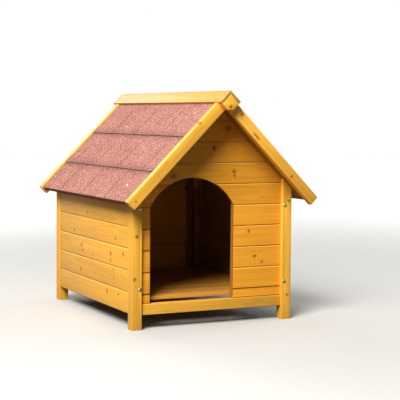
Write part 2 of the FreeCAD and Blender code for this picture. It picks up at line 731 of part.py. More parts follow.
# ---------------------------------------------------------------- assembly
def build():
    nodes = frame()
    nodes += front_boards()
    nodes += rear_boards()
    nodes += side_boards("left", LEFT)
    nodes += side_boards("right", RIGHT)
    nodes.append(group("side_wall_battens", [side_batten(side, front) for side in (LEFT, RIGHT)
                                             for front in (True, False)]))
    nodes += stiles()
    nodes.append(bearers())
    nodes.append(frame_bolts())
    nodes += floor()
    nodes += roof()
    return nodes


def check(nodes):
    """Stop before anything is written if a feature failed or a piece is empty."""
    doc.recompute()
    for thing in doc.Objects:
        if {"Invalid", "Error"} & set(thing.State):
            raise RuntimeError(f"{thing.Label}: {thing.State}")
    for node in nodes:
        if node.Shape.isNull() or not node.Shape.isValid() or not node.Shape.Solids:
            raise RuntimeError(f"{node.Label}: no valid solid")


parts = build()
check(parts)
os.makedirs("parts", exist_ok=True)
for node in parts:
    node.Shape.exportStep(os.path.join("parts", f"{node.Label}.step"))
    print(node.Label, len(node.Shape.Solids), round(node.Shape.Volume))
print(len(parts), "nodes")
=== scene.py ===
"""Looks of the dog house: stained pine with grain and knots, mineral roofing felt with a ragged
edge, zinc bolts and nails. Metres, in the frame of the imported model: +Z up, doorway on -Y.
"""
import json
import math
import random

import bmesh
import bpy
from mathutils import Matrix, Vector, noise as ripple


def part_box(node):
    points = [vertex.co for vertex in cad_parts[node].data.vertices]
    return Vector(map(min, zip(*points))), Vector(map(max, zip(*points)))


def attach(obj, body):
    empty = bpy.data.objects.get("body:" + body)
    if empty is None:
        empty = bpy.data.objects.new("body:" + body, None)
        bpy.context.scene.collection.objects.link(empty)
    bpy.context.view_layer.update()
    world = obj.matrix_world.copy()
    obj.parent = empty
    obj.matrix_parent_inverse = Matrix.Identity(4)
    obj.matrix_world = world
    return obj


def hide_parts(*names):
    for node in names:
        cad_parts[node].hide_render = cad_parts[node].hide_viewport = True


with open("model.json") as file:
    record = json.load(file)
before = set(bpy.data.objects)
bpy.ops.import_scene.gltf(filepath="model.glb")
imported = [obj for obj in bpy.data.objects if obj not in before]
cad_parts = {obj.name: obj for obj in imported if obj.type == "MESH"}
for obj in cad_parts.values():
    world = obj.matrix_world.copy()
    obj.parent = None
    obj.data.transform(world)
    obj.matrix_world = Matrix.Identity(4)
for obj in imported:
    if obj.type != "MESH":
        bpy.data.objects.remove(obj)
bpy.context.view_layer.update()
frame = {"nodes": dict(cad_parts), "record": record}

RECORD = frame["record"]
BODY_OF = {node: body for body, nodes in RECORD["behaviour"]["bodies"].items() for node in nodes}

# ---------------------------------------------------------------- sizes
ARRIS = 0.0007                    # softening of the planed edges
JOINT_DEPTH = 0.0020              # depth of the V joints between wall boards
CABIN = (0.2375, 0.2735, 0.078)   # half width, half depth and floor of the unstained inside, darkened as painted shade
CABIN_LAP = 0.002                 # how far the unstained inside reaches into the roof boards
ROOF_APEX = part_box("roof_rafters")[1].z  # where the undersides of the roof boards meet
DOOR_ARRIS = 0.0022               # rounding of the sawn doorway
DOOR_RISE = 0.079                 # rise of the arch above its springing
FELT_STEP = 0.006                 # spacing of the cross cuts that let the felt ripple
FELT_RIPPLE = 0.0005              # how far the felt lifts off the roof boards
RAGGED = 0.0011                   # wander of the cut lower edges of the felt
RAGGED_WAVES = 210                # bends in a metre of such an edge
RIPPLES = (9, 7, 9)               # ripples in a metre of felt, sideways, along the ridge and up
LAP_SHADOW = 0.0028                     # width of the painted shadow below the edge of each course
STONE = 0.0008                    # radius of a proud granule
STONES = 9000.0                   # proud granules on a square metre of felt
EDGE_STONES = 60000.0             # and on a square metre of its cut edges
FELT_BEND = 0.006                 # the eave's hem starts this far below the face of the felt
FELT_FACE = 0.0137                # outer face of the felt above the undersides of the roof boards
RIDGE_FACE = 0.0208               # and of the ridge boards
NAIL_HEAD = 0.0035                # radius of a clout nail's head
RIDGE_NAIL_HEAD = NAIL_HEAD * 0.5
GRAIN_DEPTH = 0.00012             # relief of the wood's fibres and knots
GRANULE_DEPTH = 0.0007            # relief of the granules pressed in the felt
PLATING_DEPTH = 0.00005           # relief of the zinc
PITH_ASIDE = 0.02                 # farthest the pith lies to the side of a board's middle
PITH_AWAY = (0.018, 0.05)         # how far it lies behind or before the board
LOG_LEAN = (0.03, 0.04)           # slope of the fibres against the board, across it and through it
WELD = 1e-6                       # corners nearer than this are one corner
ON_PLANE = 1e-7                   # how near a corner lies to a cut that goes through it
TOUCH = 1e-5                      # how near a point lies to a line that it is on
NOWHERE = -1                      # the lap of a course with none above it, clear of all the felt

X, Y, Z = Vector((1, 0, 0)), Vector((0, 1, 0)), Vector((0, 0, 1))
DOWN = {"left": Vector((-1, 0, -1)).normalized(), "right": Vector((1, 0, -1)).normalized()}
OUT = {"left": Vector((-1, 0, 1)).normalized(), "right": Vector((1, 0, 1)).normalized()}

# Nails of one roof side, as distances out from the ridge and along it.
CLOUTS = [(0.042, -0.272), (0.241, -0.260), (0.245, 0.319), (0.086, 0.117)]
RIDGE_NAILS = [(0.008, along) for along in (-0.27, -0.09, 0.09, 0.27)]

# Knots that stand out on the outer faces: place on the face and radius.
KNOTS = [
    ((-0.2361, -0.295, 0.2578), 0.0039), ((-0.2422, -0.295, 0.1410), 0.0034),
    ((-0.248, 0.1015, 0.1969), 0.0044), ((-0.248, 0.0937, 0.1817), 0.0032),
    ((-0.248, -0.1331, 0.1955), 0.0046), ((-0.248, -0.1332, 0.1764), 0.0032),
    ((-0.248, -0.2258, 0.2032), 0.0044), ((-0.248, 0.1055, 0.1232), 0.0037),
    ((-0.248, -0.1696, 0.2411), 0.0029), ((-0.248, -0.1071, 0.0846), 0.0044),
    ((-0.248, 0.1636, 0.2374), 0.0034), ((-0.248, -0.1577, 0.1511), 0.0021),
    ((-0.248, -0.1580, 0.1390), 0.0018), ((-0.248, -0.1585, 0.1265), 0.0022),
    ((-0.248, -0.1580, 0.1141), 0.0017), ((0.0459, -0.284, 0.5524), 0.0054),
    ((0.0021, -0.284, 0.4956), 0.0041), ((0.0021, -0.284, 0.5020), 0.0027),
    ((0.0658, -0.284, 0.4306), 0.0041), ((0.0672, -0.284, 0.4201), 0.0027),
    ((-0.1214, -0.284, 0.4206), 0.0054), ((0.1349, -0.284, 0.1876), 0.0039),
    ((0.1154, -0.284, 0.2595), 0.0034), ((0.0451, -0.366, 0.5922), 0.0041),
    ((0.2062, -0.366, 0.4187), 0.0029), ((0.2399, -0.295, 0.3442), 0.0029),
    ((0.0840, -0.366, 0.5400), 0.0022), ((0.0876, -0.366, 0.5362), 0.0026),
    ((0.0912, -0.366, 0.5324), 0.0024), ((0.0950, -0.366, 0.5284), 0.0028),
    ((0.0988, -0.366, 0.5242), 0.0020), ((0.0, -0.386, 0.6125), 0.0036),
]


# ---------------------------------------------------------------- node helpers
def add(tree, kind, sockets=None, **settings):
    """Node with its settings and its sockets, each given a value or linked to another socket."""
    made = tree.nodes.new(kind)
    for name, setting in settings.items():
        setattr(made, name, setting)
    for name, given in (sockets or {}).items():
        if isinstance(given, bpy.types.NodeSocket):
            tree.links.new(given, made.inputs[name])
        else:
            made.inputs[name].default_value = given
    return made


def calc(tree, operation, *terms, clamp=False):
    made = add(tree, "ShaderNodeMath", dict(enumerate(terms)), operation=operation, use_clamp=clamp)
    return made.outputs[0]


def vector_calc(tree, operation, *terms):
    made = add(tree, "ShaderNodeVectorMath", dict(enumerate(terms)), operation=operation)
    return made.outputs["Value" if operation in ("LENGTH", "DISTANCE") else "Vector"]


def blend_colour(tree, share, first, second, mode="MIX"):
    made = add(tree, "ShaderNodeMix", {0: share, 6: first, 7: second}, data_type="RGBA", blend_type=mode)
    return made.outputs[2]


def spread(tree, given, low, high, to_low=0.0, to_high=1.0):
    """Map a value from one range to another, smoothly and clamped."""
    made = add(tree, "ShaderNodeMapRange", {"Value": given, "From Min": low, "From Max": high,
                                            "To Min": to_low, "To Max": to_high},
               interpolation_type="SMOOTHSTEP")
    return made.outputs["Result"]


def noise(tree, place, scale, detail=3.0, rough=0.55):
    made = add(tree, "ShaderNodeTexNoise", {"Vector": place, "Scale": scale, "Detail": detail,
                                            "Roughness": rough})
    return made.outputs["Fac"]


def grey(tree, level):
    return add(tree, "ShaderNodeCombineColor", {0: level, 1: level, 2: level}).outputs[0]


def new_group(name, inputs, outputs, kind_of_tree="ShaderNodeTree"):
    """Node group with its inputs (name, type, default) and outputs (name, type)."""
    tree = bpy.data.node_groups.new(name, kind_of_tree)
    for title, kind, default in inputs:
        socket = tree.interface.new_socket(title, in_out="INPUT", socket_type="NodeSocket" + kind)
        if default is not None:
            socket.default_value = default
    for title, kind in outputs:
        tree.interface.new_socket(title, in_out="OUTPUT", socket_type="NodeSocket" + kind)
    return tree, add(tree, "NodeGroupInput").outputs, add(tree, "NodeGroupOutput").inputs


# ---------------------------------------------------------------- shared effects
def knots_group():
    """Distance to the nearest knot, in knot radii: the listed ones and small scattered ones."""
    far_off = 100.0
    cells_a_metre = Vector((7.0, 24.0, 0.0))   # along and across the board
    largest = 0.0030
    dents_a_metre = 210.0                      # unevenness of a knot's rim
    tree, given, out = new_group("Knots", [("Place", "Vector", None), ("Board Place", "Vector", None)],
                                 [("Distance", "Float")])
    uneven = calc(tree, "MULTIPLY_ADD", noise(tree, given["Place"], dents_a_metre, 2.0), 0.9, 0.55)
    nearest = far_off
    for centre, radius in KNOTS:
        away = calc(tree, "DIVIDE", vector_calc(tree, "DISTANCE", given["Place"], centre), radius)
        nearest = calc(tree, "MINIMUM", nearest, away)
    # small knots, one to a cell at most, and most of the cells left empty
    stretched = vector_calc(tree, "MULTIPLY", given["Board Place"], cells_a_metre)
    cells = add(tree, "ShaderNodeTexVoronoi", {"Vector": stretched, "Scale": 1.0})
    chance = add(tree, "ShaderNodeSeparateColor", {"Color": cells.outputs["Color"]}).outputs[0]
    offset = vector_calc(tree, "SUBTRACT", stretched, cells.outputs["Position"])
    offset = vector_calc(tree, "MULTIPLY", offset, (1 / cells_a_metre.x, 1 / cells_a_metre.y, 0.0))
    radius = spread(tree, chance, 0.74, 1.0, 0.0002, largest)
    small = calc(tree, "DIVIDE", vector_calc(tree, "LENGTH", offset), radius)
    nearest = calc(tree, "MULTIPLY", calc(tree, "MINIMUM", nearest, small), uneven)
    tree.links.new(nearest, out["Distance"])
    return tree


def timber_group(knots):
    """Stained softwood cut from a log: growth rings round the pith, fibres along it, knots."""
    ring_wander, ring_bulge = 0.016, 0.0030    # metres, along the log and round a knot
    # patches a metre along the log and across it
    wander_patches, fibre_patches = (2.2, 16.0, 16.0), (9.0, 620.0, 620.0)
    cloud_patches, streak_patches = (3.0, 22.0, 22.0), (3.5, 95.0, 95.0)
    grass_shadow_patches = (85.0, 85.0, 30.0)        # sideways, along and up
    # how much of its colour each mark lays over the wood
    fibre_share, end_share, halo_share, heart_share = 0.22, 0.8, 0.34, 0.72
    wear_and_highlight_share, joint_shade_share, grass_shadow_share = 0.25, 0.58, 0.22
    grass_shadow_foot, grass_shadow_top = 0.035, 0.130     # heights between which the painted grass shadows fade
    # brightness of the stain, and what clouds, streaks, the board's own tone and end grain do to it
    plain_shade, cloud_shade, streak_shade, tone_shade, end_shade = 0.64, 0.24, 0.36, 0.12, -0.28
    smooth, fibre_rough = 0.42, 0.22           # roughness between the fibres, and what they add
    late_relief, fibre_relief, heart_relief = 0.5, -0.6, 0.7
    tree, given, out = new_group(
        "Timber",
        [("Early Wood", "Color", (0.80, 0.44, 0.10, 1)), ("Late Wood", "Color", (0.62, 0.27, 0.035, 1)),
         ("Knot Wood", "Color", (0.23, 0.060, 0.006, 1)), ("Bare Wood", "Color", (0.93, 0.62, 0.20, 1)),
         # raw wood: unstained, and dark brown as painted shade of the dim cabin
         ("Raw Wood", "Color", (0.32, 0.17, 0.060, 1)),
         ("Ring Width", "Float", 0.0042), ("Figure", "Float", 0.45), ("Raw Inside", "Float", 0.9)],
        [("Colour", "Color"), ("Roughness", "Float"), ("Height", "Float")])
    place = add(tree, "ShaderNodeTexCoord").outputs["Object"]
    log = add(tree, "ShaderNodeAttribute", attribute_name="log").outputs["Vector"]
    flat = add(tree, "ShaderNodeAttribute", attribute_name="board").outputs["Vector"]
    tone = add(tree, "ShaderNodeAttribute", attribute_name="tone").outputs["Fac"]
    wear_and_highlight = add(tree, "ShaderNodeAttribute", attribute_name="arris").outputs["Fac"]
    sawn_end = add(tree, "ShaderNodeAttribute", attribute_name="end").outputs["Fac"]
    joint_shade = add(tree, "ShaderNodeAttribute", attribute_name="joint_shade").outputs["Fac"]
    nearest = add(tree, "ShaderNodeGroup", node_tree=knots)
    tree.links.new(place, nearest.inputs["Place"])
    tree.links.new(flat, nearest.inputs["Board Place"])
    nearest = nearest.outputs["Distance"]

    # rings, pushed aside round the knots and wandering a little along the log
    radius = vector_calc(tree, "LENGTH", vector_calc(tree, "MULTIPLY", log, (0.0, 1.0, 1.0)))
    wander = noise(tree, vector_calc(tree, "MULTIPLY", log, wander_patches), 1.0, 2.0)
    radius = calc(tree, "MULTIPLY_ADD", calc(tree, "SUBTRACT", wander, 0.5), ring_wander, radius)
    radius = calc(tree, "MULTIPLY_ADD", spread(tree, nearest, 1.0, 4.5, 1.0, 0.0), ring_bulge, radius)
    in_ring = calc(tree, "FRACT", calc(tree, "DIVIDE", radius, given["Ring Width"]))
    late = calc(tree, "MULTIPLY", calc(tree, "POWER", in_ring, 3.2), spread(tree, in_ring, 1.0, 0.93))

    # fine fibres, cloudy stain and a tone for each board
    fibre = noise(tree, vector_calc(tree, "MULTIPLY", log, fibre_patches), 1.0, 2.0, 0.7)
    cloud = noise(tree, vector_calc(tree, "MULTIPLY", log, cloud_patches), 1.0, 3.0)
    streak = noise(tree, vector_calc(tree, "MULTIPLY", log, streak_patches), 1.0, 2.0, 0.6)
    fibre_dark = spread(tree, fibre, 0.42, 0.72, 0.0, fibre_share)
    share = calc(tree, "MULTIPLY_ADD", late, given["Figure"], fibre_dark, clamp=True)
    colour = blend_colour(tree, share, given["Early Wood"], given["Late Wood"])

    # no stain inside the cabin, and the raw wood there dark brown as painted shade of the dim inside
    x, y, z = add(tree, "ShaderNodeSeparateXYZ", {"Vector": place}).outputs
    inside = calc(tree, "MULTIPLY", calc(tree, "LESS_THAN", calc(tree, "ABSOLUTE", x), CABIN[0]),
                  calc(tree, "LESS_THAN", calc(tree, "ABSOLUTE", y), CABIN[1]))
    inside = calc(tree, "MULTIPLY", inside, calc(tree, "GREATER_THAN", z, CABIN[2]))
    roof_line = calc(tree, "ADD", calc(tree, "ABSOLUTE", x), z)
    inside = calc(tree, "MULTIPLY", inside, calc(tree, "LESS_THAN", roof_line, ROOF_APEX + CABIN_LAP))
    inside = calc(tree, "MULTIPLY", inside, given["Raw Inside"])
    colour = blend_colour(tree, inside, colour, given["Raw Wood"])
    shade = calc(tree, "MULTIPLY_ADD", tone, tone_shade, plain_shade)
    shade = calc(tree, "MULTIPLY_ADD", cloud, cloud_shade, shade)
    shade = calc(tree, "MULTIPLY_ADD", streak, streak_shade, shade)
    shade = calc(tree, "MULTIPLY", shade, calc(tree, "MULTIPLY_ADD", sawn_end, end_shade, 1.0))
    colour = blend_colour(tree, 1.0, colour, grey(tree, shade), "MULTIPLY")

    # thirsty end grain, knots with a dark heart and a brown halo, stain rubbed thin on the arrises, a
    # painted highlight on the upper edges of wall boards, painted shade in their joints, painted grass
    # shadows near the ground
    colour = blend_colour(tree, calc(tree, "MULTIPLY", sawn_end, end_share), colour, given["Late Wood"])
    heart = spread(tree, nearest, 0.75, 1.15, 1.0, 0.0)
    halo = spread(tree, nearest, 1.0, 2.5, halo_share, 0.0)
    colour = blend_colour(tree, halo, colour, given["Knot Wood"])
    colour = blend_colour(tree, calc(tree, "MULTIPLY", heart, heart_share), colour, given["Knot Wood"])
    # lighter bare wood on rubbed arrises, and as a painted highlight on the upper edges of wall boards
    colour = blend_colour(tree, calc(tree, "MULTIPLY", wear_and_highlight, wear_and_highlight_share), colour, given["Bare Wood"])
    # painted shade: knot brown in the joints of wall boards and under their lower edges
    colour = blend_colour(tree, calc(tree, "MULTIPLY", joint_shade, joint_shade_share), colour, given["Knot Wood"])
    # dark specks near the ground: painted shadows of grass blades
    specks = noise(tree, vector_calc(tree, "MULTIPLY", place, grass_shadow_patches), 1.0, 3.0)
    specks = spread(tree, specks, 0.60, 0.74)
    near_ground = spread(tree, z, grass_shadow_foot, grass_shadow_top, grass_shadow_share, 0.0)
    grass_shadowed = calc(tree, "MULTIPLY", specks, near_ground)
    colour = blend_colour(tree, grass_shadowed, colour, given["Knot Wood"])
    tree.links.new(colour, out["Colour"])
    tree.links.new(calc(tree, "MULTIPLY_ADD", fibre, fibre_rough, smooth), out["Roughness"])
    height = calc(tree, "MULTIPLY_ADD", late, late_relief, calc(tree, "MULTIPLY", fibre, fibre_relief))
    tree.links.new(calc(tree, "MULTIPLY_ADD", heart, heart_relief, height), out["Height"])
    return tree


def granules_group():
    """Crushed slate pressed in bitumen: each granule its own tint, dark bitumen between them."""
    clumps_a_metre, patches_a_metre = 230.0, 9.0   # where dark granules gather, close up and broadly
    # how much the granule's own tint, white stone, the gaps, and bare bitumen with the painted shadow
    # below laps change the colour
    tint_share, white_share, gap_share, bitumen_and_shade_share = 0.30, 0.7, 0.55, 0.9
    tree, given, out = new_group(
        "Granules",
        [("Light Stone", "Color", (0.675, 0.31, 0.24, 1)),
         ("Dark Stone", "Color", (0.32, 0.083, 0.062, 1)),
         ("White Stone", "Color", (0.93, 0.74, 0.68, 1)),
         ("Bitumen", "Color", (0.055, 0.024, 0.017, 1)),
         ("Grain Size", "Float", 0.0014)],
        [("Colour", "Color"), ("Height", "Float")])
    place = add(tree, "ShaderNodeTexCoord").outputs["Object"]
    # the bitumen attribute also carries painted shadow below each lap and painted shade on the eave's hem
    bare = add(tree, "ShaderNodeAttribute", attribute_name="bitumen").outputs["Fac"]
    cells = add(tree, "ShaderNodeTexVoronoi",
                {"Vector": place, "Scale": calc(tree, "DIVIDE", 1.0, given["Grain Size"])})
    tint = add(tree, "ShaderNodeSeparateColor", {"Color": cells.outputs["Color"]}).outputs
    clumps = spread(tree, noise(tree, place, clumps_a_metre, 3.0, 0.85), 0.38, 0.62, -0.12, 0.87)
    patches = spread(tree, noise(tree, place, patches_a_metre, 2.0, 0.5), 0.35, 0.7, -0.05, 0.10)
    tinted = calc(tree, "MULTIPLY_ADD", tint[0], tint_share, clumps)
    share = calc(tree, "ADD", tinted, patches, clamp=True)
    colour = blend_colour(tree, share, given["Light Stone"], given["Dark Stone"])
    white = spread(tree, tint[1], 0.84, 0.93, 0.0, white_share)
    colour = blend_colour(tree, white, colour, given["White Stone"])
    gap = spread(tree, cells.outputs["Distance"], 0.50, 0.80, 0.0, gap_share)
    gap = calc(tree, "MAXIMUM", gap, calc(tree, "MULTIPLY", bare, bitumen_and_shade_share))
    colour = blend_colour(tree, gap, colour, given["Bitumen"])
    tree.links.new(colour, out["Colour"])
    rounded = calc(tree, "MULTIPLY", cells.outputs["Distance"], -1.0)
    height = calc(tree, "MULTIPLY_ADD", tint[2], 0.5, rounded)
    tree.links.new(height, out["Height"])
    return tree


def grime_group():
    """Blotches of dust and dulling."""
    tree, given, out = new_group("Grime", [("Size", "Float", 0.004), ("Amount", "Float", 0.5)],
                                 [("Mask", "Float")])
    place = add(tree, "ShaderNodeTexCoord").outputs["Object"]
    blotch = noise(tree, place, calc(tree, "DIVIDE", 1.0, given["Size"]), 4.0, 0.65)
    mask = calc(tree, "MULTIPLY", spread(tree, blotch, 0.38, 0.72), given["Amount"])
    tree.links.new(mask, out["Mask"])
    return tree


KNOT_FIELD = knots_group()
TIMBER = timber_group(KNOT_FIELD)
GRANULES = granules_group()
GRIME = grime_group()


# ---------------------------------------------------------------- materials
def new_material(name, group, **sockets):
    """Material whose shader is fed by one of the groups, placed with its own values."""
    material = bpy.data.materials.new(name)
    material.use_nodes = True
    tree = material.node_tree
    tree.nodes.clear()
    shader = add(tree, "ShaderNodeBsdfPrincipled")
    add(tree, "ShaderNodeOutputMaterial", {"Surface": shader.outputs[0]})
    effect = add(tree, "ShaderNodeGroup", node_tree=group)
    for title, given in sockets.items():
        effect.inputs[title.replace("_", " ").title()].default_value = given
    return material, tree, shader.inputs, effect.outputs


def bump(tree, shader, height, distance):
    made = add(tree, "ShaderNodeBump", {"Height": height, "Distance": distance})
    tree.links.new(made.outputs[0], shader["Normal"])


def wood(name, coat, **sockets):
    material, tree, shader, timber = new_material(name, TIMBER, **sockets)
    tree.links.new(timber["Colour"], shader["Base Color"])
    tree.links.new(timber["Roughness"], shader["Roughness"])
    shader["Specular IOR Level"].default_value = 0.22
    shader["Coat Weight"].default_value = coat
    shader["Coat Roughness"].default_value = 0.35
    bump(tree, shader, timber["Height"], GRAIN_DEPTH)
    return material


def felt(name, **sockets):
    material, tree, shader, granules = new_material(name, GRANULES, **sockets)
    tree.links.new(granules["Colour"], shader["Base Color"])
    shader["Roughness"].default_value = 0.92
    shader["Specular IOR Level"].default_value = 0.25
    bump(tree, shader, granules["Height"], GRANULE_DEPTH)
    return material


def zinc(name, bright, dull, **sockets):
    material, tree, shader, grime = new_material(name, GRIME, **sockets)
    tree.links.new(blend_colour(tree, grime["Mask"], bright, dull), shader["Base Color"])
    tree.links.new(calc(tree, "MULTIPLY_ADD", grime["Mask"], 0.4, 0.28), shader["Roughness"])
    shader["Metallic"].default_value = 1.0
    bump(tree, shader, grime["Mask"], PLATING_DEPTH)
    return material


STAINED = wood("Stained pine", 0.05, early_wood=(0.90, 0.395, 0.030, 1), late_wood=(0.71, 0.24, 0.011, 1),
               figure=0.55)
# paler, bluer copy of the stain on the side and rear walls: painted sheen of the sunlit side
WALL_PAINTED_SHEEN = wood("Wall pine paled as painted sheen", 0.05, early_wood=(0.94, 0.475, 0.065, 1), late_wood=(0.79, 0.335, 0.033, 1),
             figure=0.55)
PLANED = wood("Stained pine strip", 0.05, early_wood=(0.98, 0.515, 0.060, 1),
              late_wood=(0.84, 0.34, 0.026, 1), ring_width=0.0032, figure=0.6)
# darker copy of the strip pine on the low rails: painted shade near the ground
RAIL_PAINTED_SHADE = wood("Damp rail pine", 0.05, early_wood=(0.80, 0.425, 0.050, 1), late_wood=(0.67, 0.275, 0.022, 1),
            ring_width=0.0032, figure=0.6)
# paler, greyer copy of the strip pine on the ridge boards: painted sheen of the sky on their upward faces
RIDGE_PAINTED_SHEEN = wood("Ridge pine paled as painted sheen", 0.06, early_wood=(0.63, 0.36, 0.082, 1),
                late_wood=(0.53, 0.27, 0.048, 1), ring_width=0.0032, figure=0.4)
# stained roof boards, darkened as painted shade under the overhang
ROOF_PAINTED_SHADE = wood("Roof pine with painted shade", 0.0, early_wood=(0.38, 0.16, 0.016, 1),
              late_wood=(0.27, 0.095, 0.008, 1))
# dark raw pine of the inner frame: painted shade of the dim inside and underneath
INNER_PAINTED_SHADE = wood("Rough inner pine with painted shade", 0.0, early_wood=(0.33, 0.17, 0.055, 1), late_wood=(0.23, 0.11, 0.032, 1),
             figure=0.5)
TRODDEN = wood("Trodden floor pine", 0.0, early_wood=(0.64, 0.295, 0.050, 1),
               late_wood=(0.46, 0.18, 0.024, 1), figure=0.6, raw_inside=0.0)
FELT = felt("Red slate felt")
ZINC = zinc("Zinc plate", (0.31, 0.32, 0.21, 1), (0.12, 0.12, 0.07, 1), amount=0.8)
NAIL_ZINC = zinc("Galvanised nails", (0.60, 0.52, 0.47, 1), (0.38, 0.33, 0.30, 1), amount=0.8, size=0.002)


# ---------------------------------------------------------------- timber
def merged_copy(node):
    """The CAD node's triangles joined up, with its flat faces whole again."""
    source = frame["nodes"][node].data
    shape = bmesh.new()
    corners = [shape.verts.new(vertex.co) for vertex in source.vertices]
    for triangle in source.polygons:
        shape.faces.new([corners[i] for i in triangle.vertices])
    bmesh.ops.remove_doubles(shape, verts=shape.verts, dist=WELD)
    bmesh.ops.dissolve_limit(shape, angle_limit=math.radians(1), verts=shape.verts, edges=shape.edges)
    return shape


def islands(shape):
    """Vertices of each separate solid, in the mesh's own order, so that every run is the same."""
    shape.verts.index_update()
    seen = set()
    for first in shape.verts:
        if first in seen:
            continue
        seen.add(first)
        solid = [first]
        for vertex in solid:  # grows while it is read
            for edge in vertex.link_edges:
                other = edge.other_vert(vertex)
                if other not in seen:
                    seen.add(other)
                    solid.append(other)
        yield sorted(solid, key=lambda vertex: vertex.index)


def on_doorway(place):
    """Whether a point lies on the outline of the doorway, seen from the front."""
    left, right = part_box("door_boards_left")[1].x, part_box("door_boards_right")[0].x
    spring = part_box("arch_board_left")[0].z
    half = (right - left) / 2
    radius = (half ** 2 + DOOR_RISE ** 2) / (2 * DOOR_RISE)
    if place.z < spring + TOUCH:
        return min(abs(place.x - left), abs(place.x - right)) < TOUCH
    centre = Vector(((left + right) / 2, spring + DOOR_RISE - radius))
    return abs((Vector((place.x, place.z)) - centre).length - radius) < 20 * TOUCH


def bevel(shape, edges, width, steps):
    return bmesh.ops.bevel(shape, geom=edges, offset=width, offset_type="OFFSET", segments=steps,
                           profile=0.5, affect="EDGES", clamp_overlap=True)["faces"]


def round_doorway(shape):
    """Round the outer edge of the sawn opening."""
    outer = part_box("door_boards_left")[0].y + 1.5 * JOINT_DEPTH
    rim = [edge for edge in shape.edges
           if all(vertex.co.y < outer and on_doorway(vertex.co) for vertex in edge.verts)
           and abs((edge.verts[0].co - edge.verts[1].co).normalized().y) < 0.9]
    bevel(shape, rim, DOOR_ARRIS, 3)


def cut_from_log(shape, node, run, thick):
    """Store on each solid how it lies in its log: along the fibres and from the pith."""
    across = run.cross(thick)
    log = shape.verts.layers.float_vector.new("log")
    board = shape.verts.layers.float_vector.new("board")
    tone = shape.verts.layers.float.new("tone")
    end = shape.faces.layers.float.new("end")
    shape.normal_update()
    for face in shape.faces:
        face[end] = float(abs(face.normal.dot(run)) > 0.8)
    for number, solid in enumerate(islands(shape)):
        luck = random.Random(f"{node} {number}")
        middle = sum((vertex.co for vertex in solid), Vector()) / len(solid)
        start = Vector((luck.uniform(0, 9), luck.uniform(0, 9), 0))
        pith = Vector((luck.uniform(-PITH_ASIDE, PITH_ASIDE),
                       luck.uniform(*PITH_AWAY) * luck.choice((-1, 1))))
        lean = Vector([luck.uniform(-most, most) for most in LOG_LEAN])
        colour = luck.random()
        for vertex in solid:
            place = vertex.co - middle
            flat = Vector((place.dot(run), place.dot(across), place.dot(thick)))
            vertex[board] = start + flat
            vertex[log] = Vector((start.x + flat.x, pith.x + flat.y + lean.x * flat.x,
                                  pith.y + flat.z + lean.y * flat.x))
            vertex[tone] = colour


def to_object(shape, name, material):
    mesh = bpy.data.meshes.new(name)
    shape.to_mesh(mesh)
    shape.free()
    for polygon in mesh.polygons:
        polygon.use_smooth = True
    mesh.set_sharp_from_angle(angle=math.radians(25))
    mesh.materials.append(material)
    piece = bpy.data.objects.new(name, mesh)
    bpy.context.scene.collection.objects.link(piece)
    return piece


def stand_for(piece, node):
    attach(piece, BODY_OF[node])
    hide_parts(node)


def mark_joints(shape, outward, wear_and_highlight):
    """Painted shade deep in the joints of a wall board and under its lower edge, and a painted
    highlight on its upper edge."""
    joint_shade = shape.faces.layers.float.new("joint_shade")
    surface = max(vertex.co.dot(outward) for vertex in shape.verts)
    shape.normal_update()
    for face in shape.faces:
        depth = surface - face.calc_center_median().dot(outward)
        slanted = 0.2 < face.normal.dot(outward) < 0.95 and depth < JOINT_DEPTH
        # painted shade deep in the joint, with no rubbed edge there
        if JOINT_DEPTH * 0.8 < depth < JOINT_DEPTH * 3:
            face[joint_shade] = 1.0
            face[wear_and_highlight] = 0.0
        # painted shade on the chamfer under the lower edge
        elif slanted and face.normal.z < -0.2:
            face[joint_shade] = 0.6
        # painted highlight on the chamfer along the upper edge
        elif slanted and face.normal.z > 0.2:
            face[wear_and_highlight] = 1.0


def timber(node, run, thick, material=STAINED, outward=None, sawn_doorway=False):
    """Softened copy of a wooden node; run is the way its fibres go, thick its thinner side.
    outward is where a wall board faces."""
    shape = merged_copy(node)
    if sawn_doorway:
        round_doorway(shape)
    sharp = [edge for edge in shape.edges
             if edge.is_manifold and edge.is_convex and edge.calc_face_angle() > math.radians(40)]
    wear_and_highlight = shape.faces.layers.float.new("arris")
    for face in bevel(shape, sharp, ARRIS, 2):
        face[wear_and_highlight] = 1.0
    if outward:
        mark_joints(shape, outward, wear_and_highlight)
    cut_from_log(shape, node, run, thick)
    stand_for(to_object(shape, f"{node}_timber", material), node)


def make_walls():
    for corner in ("front_left", "front_right", "rear_left", "rear_right"):
        timber(f"post_{corner}", Z, Y, PLANED)
    for end in ("front", "rear"):
        timber(f"{end}_rail", X, Y, RAIL_PAINTED_SHADE)
        timber(f"{end}_wall_stiles", Z, Y, INNER_PAINTED_SHADE)
    for node in ("door_boards_left", "door_boards_right", "arch_board_left", "arch_board_right",
                 "front_gable_board_1"):
        timber(node, X, Y, outward=-Y, sawn_doorway=True)
    for number in range(2, 5):
        timber(f"front_gable_board_{number}", X, Y, outward=-Y)
    for number in range(1, 11):
        timber(f"rear_wall_board_{number}", X, Y, WALL_PAINTED_SHEEN, outward=Y)
    for number in range(1, 7):
        timber(f"left_wall_board_{number}", Y, X, WALL_PAINTED_SHEEN, outward=-X)
        timber(f"right_wall_board_{number}", Y, X, WALL_PAINTED_SHEEN, outward=X)
    timber("side_wall_battens", Z, Y, INNER_PAINTED_SHADE)
    timber("floor_bearers", Y, X, INNER_PAINTED_SHADE)


def make_floor():
    timber("floor_boards", X, Z, TRODDEN)
    timber("floor_ledges", Y, Z, INNER_PAINTED_SHADE)


